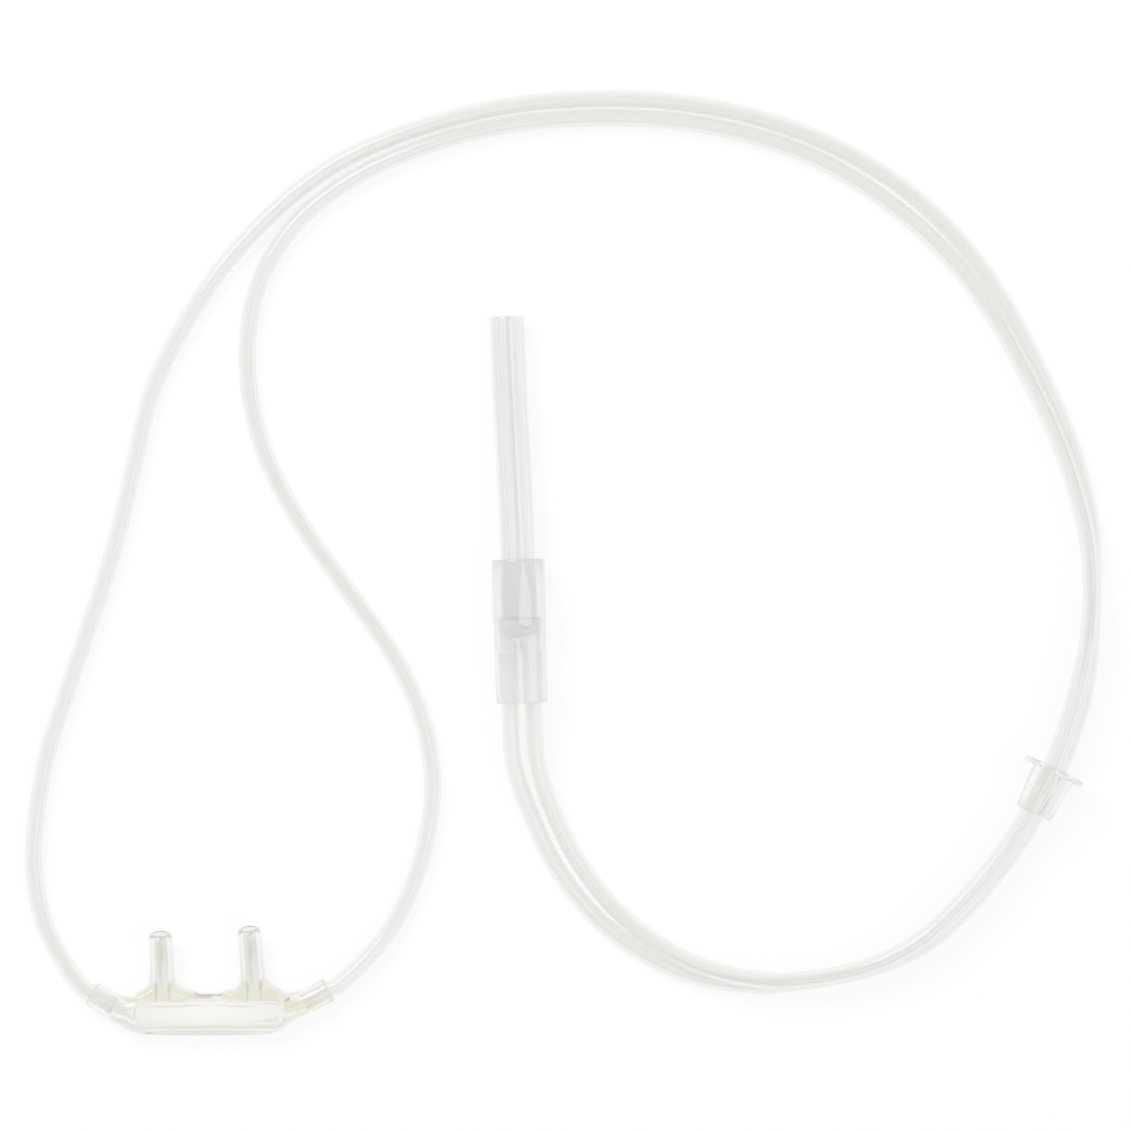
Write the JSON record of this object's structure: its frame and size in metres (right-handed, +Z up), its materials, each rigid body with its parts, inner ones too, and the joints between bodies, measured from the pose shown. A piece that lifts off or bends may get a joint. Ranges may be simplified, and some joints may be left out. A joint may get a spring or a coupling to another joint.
{
  "type": "nasal oxygen cannula",
  "caption": "Nasal oxygen cannula: soft nosepiece with curved prongs, head tubes joined through a slider to a Y connector, and a cut supply tube stub.",
  "frame": {"origin": "on the surface that it lies on, at the flat underside of the nosepiece, under the nosepiece's middle", "axes": "+X along the nosepiece from its left collar to its right one, +Y the way the prongs point, +Z up off the surface"},
  "size_m": [0.1906, 0.1675, 0.0095],
  "materials": {
    "nosepiece": "clear soft PVC, faint yellow-green tint",
    "tubing": "clear soft PVC, drawn",
    "slider": "clear plastic",
    "connector": "clear soft PVC, slightly milky",
    "supply_tubing": "clear soft PVC with lengthwise inner ridges"
  },
  "bodies": {
    "cannula": {"nosepiece": "nosepiece", "head_tube_left": "tubing", "head_tube_right": "tubing", "y_connector": "connector", "supply_tube": "supply_tubing"},
    "slider": {"slider": "slider"}
  },
  "joints": [
    {"name": "slider_travel", "type": "hinge", "parent": "cannula", "child": "slider", "pos_m": [0.0746, 0.0757, 0], "axis": [0, 0, 1], "range_deg": [-13.5, 9]}
  ]
}
